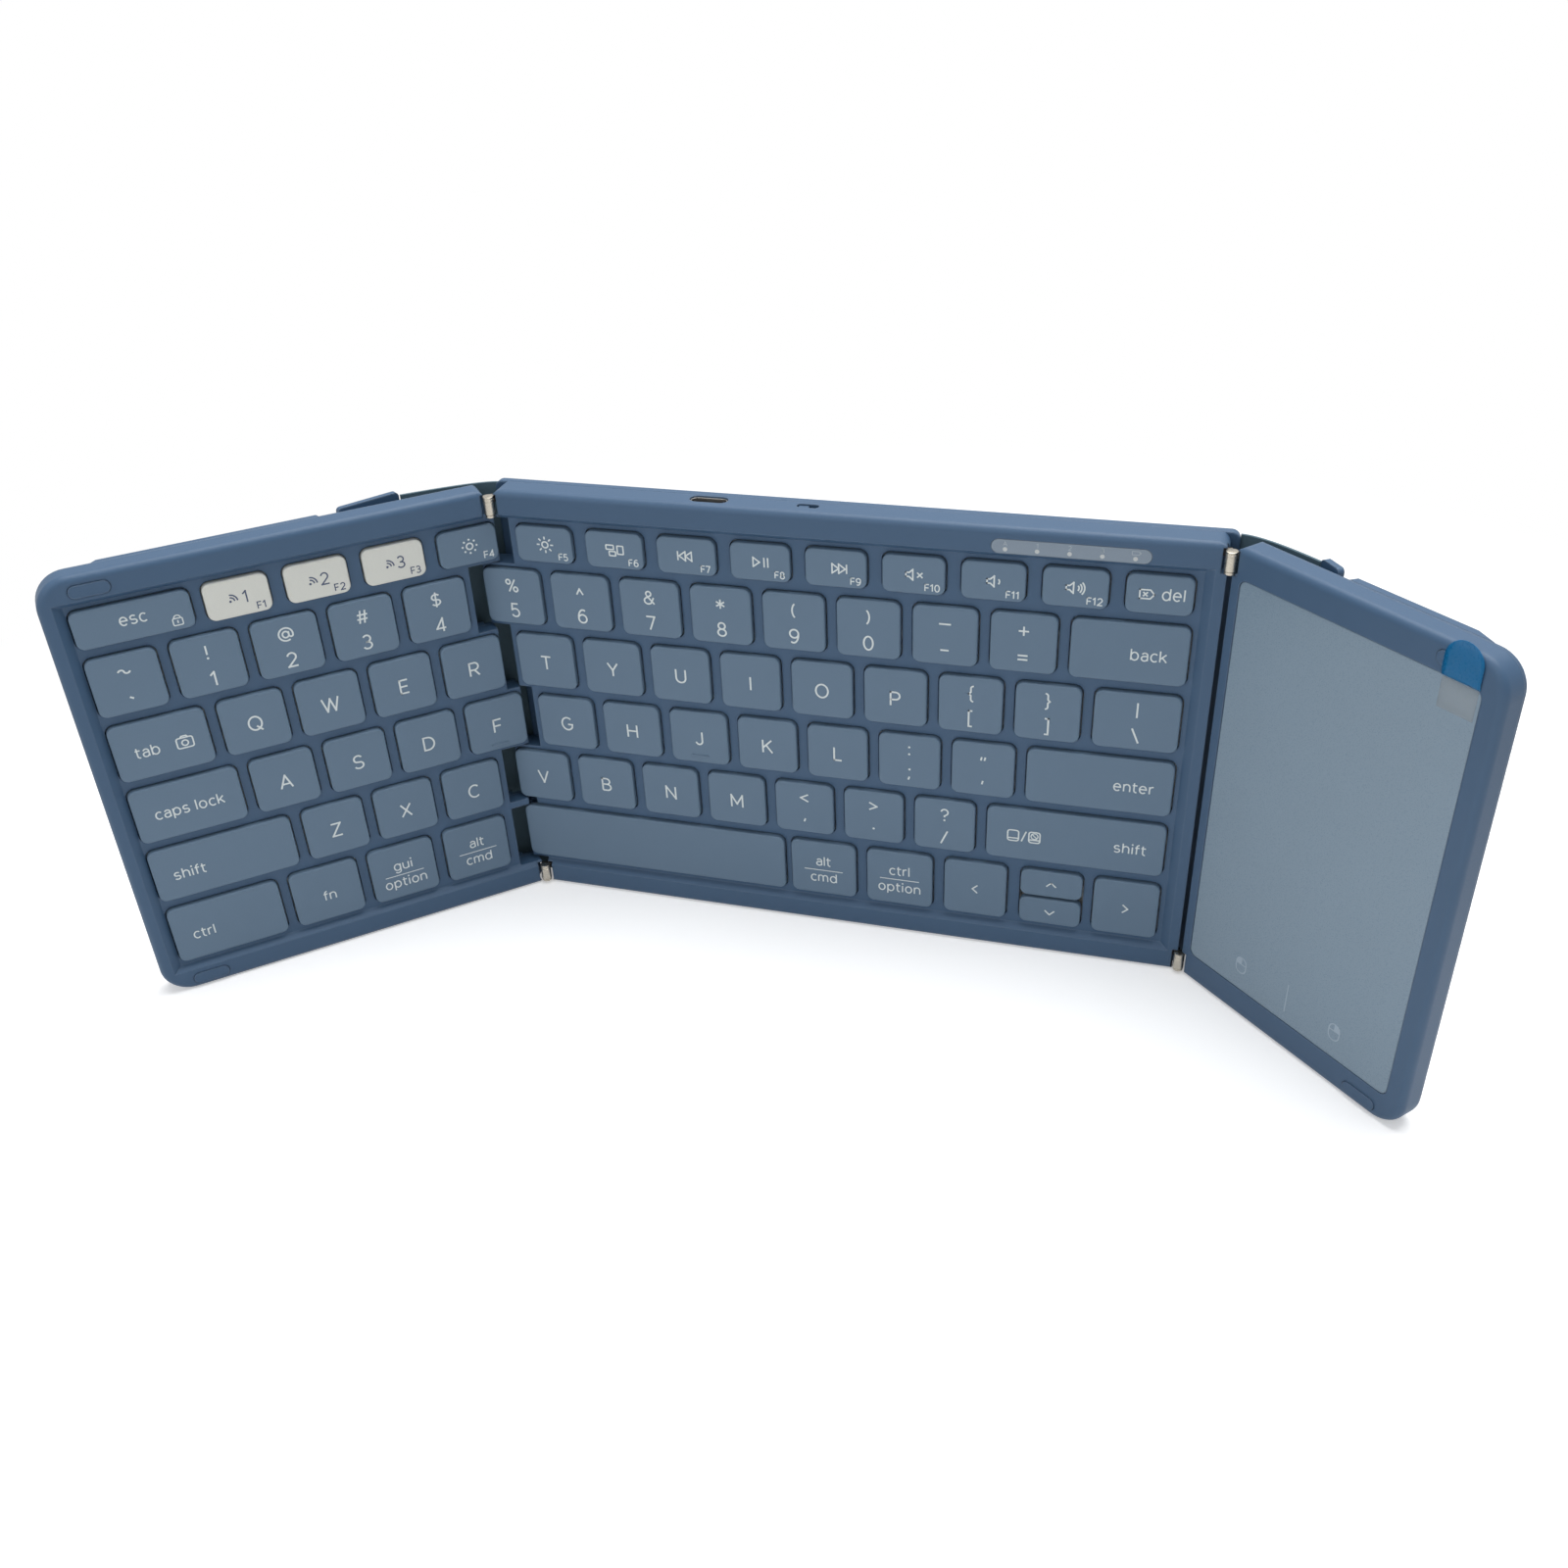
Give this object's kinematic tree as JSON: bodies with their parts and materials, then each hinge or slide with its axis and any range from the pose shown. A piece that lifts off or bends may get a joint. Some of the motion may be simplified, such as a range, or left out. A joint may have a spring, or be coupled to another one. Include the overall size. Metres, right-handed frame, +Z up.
{
  "type": "folding keyboard",
  "caption": "Three-panel folding keyboard standing half folded on its front edges, with a touchpad wing, meshing left fold and sliding spine flaps.",
  "frame": {"origin": "on the flat front wall of the middle panel, midway between the fold lines and half way through the thickness, where the keyboard stands", "axes": "+X along the middle panel towards the touchpad wing, -Y out of the keys of the middle panel, +Z up from the front edge to the rear edge with the charging socket"},
  "size_m": [0.304, 0.0768, 0.1155],
  "materials": {
    "frame_plastic": "fine matt texture",
    "key_plastic": "satin",
    "channel_key_plastic": "satin",
    "touchpad_glass": "smooth matt",
    "window_plastic": "frosted",
    "steel": "brushed",
    "strip_rubber": "matt",
    "dome_rubber": "matt",
    "board": "solder mask",
    "cell": "foil wrap",
    "film": "glossy film"
  },
  "bodies": {
    "middle_panel": {"middle_frame": "frame_plastic", "middle_back_plate": "frame_plastic", "middle_switch_plate": "steel", "middle_dome_sheet": "dome_rubber", "controller_board": "board", "usb_c_port": "steel", "led_window": "window_plastic", "left_hinge_leaves": "steel", "left_hinge_pins": "steel", "right_hinge_leaves": "steel", "right_hinge_pins": "steel", "left_spine_strip": "strip_rubber", "right_spine_strip": "strip_rubber"},
    "left_wing": {"left_wing_frame": "frame_plastic", "left_wing_cover": "frame_plastic", "left_switch_plate": "steel", "left_dome_sheet": "dome_rubber", "left_hinge_knuckles": "steel", "left_bumpers": "frame_plastic", "left_back_pad": "frame_plastic", "left_magnets": "steel"},
    "right_wing": {"right_wing_frame": "frame_plastic", "right_wing_cover": "frame_plastic", "touchpad_plate": "touchpad_glass", "touchpad_board": "board", "battery": "cell", "right_hinge_knuckles": "steel", "right_bumpers": "frame_plastic", "right_back_pad": "frame_plastic", "right_magnets": "steel", "film_tab": "film"},
    "power_slider": {"power_switch": "frame_plastic"},
    "left_flap": {"left_flap_plate": "frame_plastic"},
    "right_flap": {"right_flap_plate": "frame_plastic"},
    "esc_key_body": {"esc_key": "key_plastic"},
    "channel_keys_body": {"channel_keys": "channel_key_plastic"},
    "f4_key_body": {"f4_key": "key_plastic"},
    "left_number_keys_body": {"left_number_keys": "key_plastic"},
    "tab_key_body": {"tab_key": "key_plastic"},
    "left_upper_letters_body": {"left_upper_letters": "key_plastic"},
    "caps_lock_key_body": {"caps_lock_key": "key_plastic"},
    "left_home_letters_body": {"left_home_letters": "key_plastic"},
    "left_shift_key_body": {"left_shift_key": "key_plastic"},
    "left_lower_letters_body": {"left_lower_letters": "key_plastic"},
    "left_modifier_keys_body": {"left_modifier_keys": "key_plastic"},
    "function_keys_body": {"function_keys": "key_plastic"},
    "right_number_keys_body": {"right_number_keys": "key_plastic"},
    "back_key_body": {"back_key": "key_plastic"},
    "right_upper_letters_body": {"right_upper_letters": "key_plastic"},
    "backslash_key_body": {"backslash_key": "key_plastic"},
    "right_home_letters_body": {"right_home_letters": "key_plastic"},
    "enter_key_body": {"enter_key": "key_plastic"},
    "right_lower_letters_body": {"right_lower_letters": "key_plastic"},
    "right_shift_key_body": {"right_shift_key": "key_plastic"},
    "space_bar_body": {"space_bar": "key_plastic"},
    "right_modifier_keys_body": {"right_modifier_keys": "key_plastic"},
    "side_arrow_keys_body": {"side_arrow_keys": "key_plastic"},
    "up_key_body": {"up_key": "key_plastic"},
    "down_key_body": {"down_key": "key_plastic"}
  },
  "joints": [
    {"name": "left_wing_fold", "type": "hinge", "parent": "middle_panel", "child": "left_wing", "pos_m": [-0.0855, -0.00505, 0.05], "axis": [0, 0, 1], "range_deg": [-42, 138], "deforming": ["left_spine_strip"]},
    {"name": "right_wing_fold", "type": "hinge", "parent": "middle_panel", "child": "right_wing", "pos_m": [0.0855, -0.00505, 0.05], "axis": [0, 0, -1], "range_deg": [-43, 137], "deforming": ["right_spine_strip"]},
    {"name": "power_switch_slide", "type": "slide", "parent": "middle_panel", "child": "power_slider", "axis": [1, 0, 0], "range_m": [0, 0.002]},
    {"name": "left_flap_slide", "type": "slide", "parent": "left_wing", "child": "left_flap", "axis": [0.7431, 0.6691, 0], "range_m": [-0.0037, 0.0121]},
    {"name": "right_flap_slide", "type": "slide", "parent": "right_wing", "child": "right_flap", "axis": [-0.7314, 0.682, 0], "range_m": [-0.0027, 0.0084]},
    {"name": "esc_key_press", "type": "slide", "parent": "left_wing", "child": "esc_key_body", "axis": [-0.6691, 0.7431, 0], "range_m": [0, 0.0012], "stiffness_N_per_m": 400, "springref_m": -0.0004},
    {"name": "channel_keys_press", "type": "slide", "parent": "left_wing", "child": "channel_keys_body", "axis": [-0.6691, 0.7431, 0], "range_m": [0, 0.0012], "stiffness_N_per_m": 400, "springref_m": -0.0004},
    {"name": "f4_key_press", "type": "slide", "parent": "left_wing", "child": "f4_key_body", "axis": [-0.6691, 0.7431, 0], "range_m": [0, 0.0012], "stiffness_N_per_m": 400, "springref_m": -0.0004},
    {"name": "left_number_keys_press", "type": "slide", "parent": "left_wing", "child": "left_number_keys_body", "axis": [-0.6691, 0.7431, 0], "range_m": [0, 0.0012], "stiffness_N_per_m": 400, "springref_m": -0.0004},
    {"name": "tab_key_press", "type": "slide", "parent": "left_wing", "child": "tab_key_body", "axis": [-0.6691, 0.7431, 0], "range_m": [0, 0.0012], "stiffness_N_per_m": 400, "springref_m": -0.0004},
    {"name": "left_upper_letters_press", "type": "slide", "parent": "left_wing", "child": "left_upper_letters_body", "axis": [-0.6691, 0.7431, 0], "range_m": [0, 0.0012], "stiffness_N_per_m": 400, "springref_m": -0.0004},
    {"name": "caps_lock_key_press", "type": "slide", "parent": "left_wing", "child": "caps_lock_key_body", "axis": [-0.6691, 0.7431, 0], "range_m": [0, 0.0012], "stiffness_N_per_m": 400, "springref_m": -0.0004},
    {"name": "left_home_letters_press", "type": "slide", "parent": "left_wing", "child": "left_home_letters_body", "axis": [-0.6691, 0.7431, 0], "range_m": [0, 0.0012], "stiffness_N_per_m": 400, "springref_m": -0.0004},
    {"name": "left_shift_key_press", "type": "slide", "parent": "left_wing", "child": "left_shift_key_body", "axis": [-0.6691, 0.7431, 0], "range_m": [0, 0.0012], "stiffness_N_per_m": 400, "springref_m": -0.0004},
    {"name": "left_lower_letters_press", "type": "slide", "parent": "left_wing", "child": "left_lower_letters_body", "axis": [-0.6691, 0.7431, 0], "range_m": [0, 0.0012], "stiffness_N_per_m": 400, "springref_m": -0.0004},
    {"name": "left_modifier_keys_press", "type": "slide", "parent": "left_wing", "child": "left_modifier_keys_body", "axis": [-0.6691, 0.7431, 0], "range_m": [0, 0.0012], "stiffness_N_per_m": 400, "springref_m": -0.0004},
    {"name": "function_keys_press", "type": "slide", "parent": "middle_panel", "child": "function_keys_body", "axis": [0, 1, 0], "range_m": [0, 0.0012], "stiffness_N_per_m": 400, "springref_m": -0.0004},
    {"name": "right_number_keys_press", "type": "slide", "parent": "middle_panel", "child": "right_number_keys_body", "axis": [0, 1, 0], "range_m": [0, 0.0012], "stiffness_N_per_m": 400, "springref_m": -0.0004},
    {"name": "back_key_press", "type": "slide", "parent": "middle_panel", "child": "back_key_body", "axis": [0, 1, 0], "range_m": [0, 0.0012], "stiffness_N_per_m": 400, "springref_m": -0.0004},
    {"name": "right_upper_letters_press", "type": "slide", "parent": "middle_panel", "child": "right_upper_letters_body", "axis": [0, 1, 0], "range_m": [0, 0.0012], "stiffness_N_per_m": 400, "springref_m": -0.0004},
    {"name": "backslash_key_press", "type": "slide", "parent": "middle_panel", "child": "backslash_key_body", "axis": [0, 1, 0], "range_m": [0, 0.0012], "stiffness_N_per_m": 400, "springref_m": -0.0004},
    {"name": "right_home_letters_press", "type": "slide", "parent": "middle_panel", "child": "right_home_letters_body", "axis": [0, 1, 0], "range_m": [0, 0.0012], "stiffness_N_per_m": 400, "springref_m": -0.0004},
    {"name": "enter_key_press", "type": "slide", "parent": "middle_panel", "child": "enter_key_body", "axis": [0, 1, 0], "range_m": [0, 0.0012], "stiffness_N_per_m": 400, "springref_m": -0.0004},
    {"name": "right_lower_letters_press", "type": "slide", "parent": "middle_panel", "child": "right_lower_letters_body", "axis": [0, 1, 0], "range_m": [0, 0.0012], "stiffness_N_per_m": 400, "springref_m": -0.0004},
    {"name": "right_shift_key_press", "type": "slide", "parent": "middle_panel", "child": "right_shift_key_body", "axis": [0, 1, 0], "range_m": [0, 0.0012], "stiffness_N_per_m": 400, "springref_m": -0.0004},
    {"name": "space_bar_press", "type": "slide", "parent": "middle_panel", "child": "space_bar_body", "axis": [0, 1, 0], "range_m": [0, 0.0012], "stiffness_N_per_m": 400, "springref_m": -0.0004},
    {"name": "right_modifier_keys_press", "type": "slide", "parent": "middle_panel", "child": "right_modifier_keys_body", "axis": [0, 1, 0], "range_m": [0, 0.0012], "stiffness_N_per_m": 400, "springref_m": -0.0004},
    {"name": "side_arrow_keys_press", "type": "slide", "parent": "middle_panel", "child": "side_arrow_keys_body", "axis": [0, 1, 0], "range_m": [0, 0.0012], "stiffness_N_per_m": 400, "springref_m": -0.0004},
    {"name": "up_key_press", "type": "slide", "parent": "middle_panel", "child": "up_key_body", "axis": [0, 1, 0], "range_m": [0, 0.0012], "stiffness_N_per_m": 400, "springref_m": -0.0004},
    {"name": "down_key_press", "type": "slide", "parent": "middle_panel", "child": "down_key_body", "axis": [0, 1, 0], "range_m": [0, 0.0012], "stiffness_N_per_m": 400, "springref_m": -0.0004}
  ],
  "couplings": [
    {"joint": "left_flap_slide", "follows": "left_wing_fold", "m_per_rad": 0.005},
    {"joint": "right_flap_slide", "follows": "right_wing_fold", "m_per_rad": 0.0035}
  ]
}
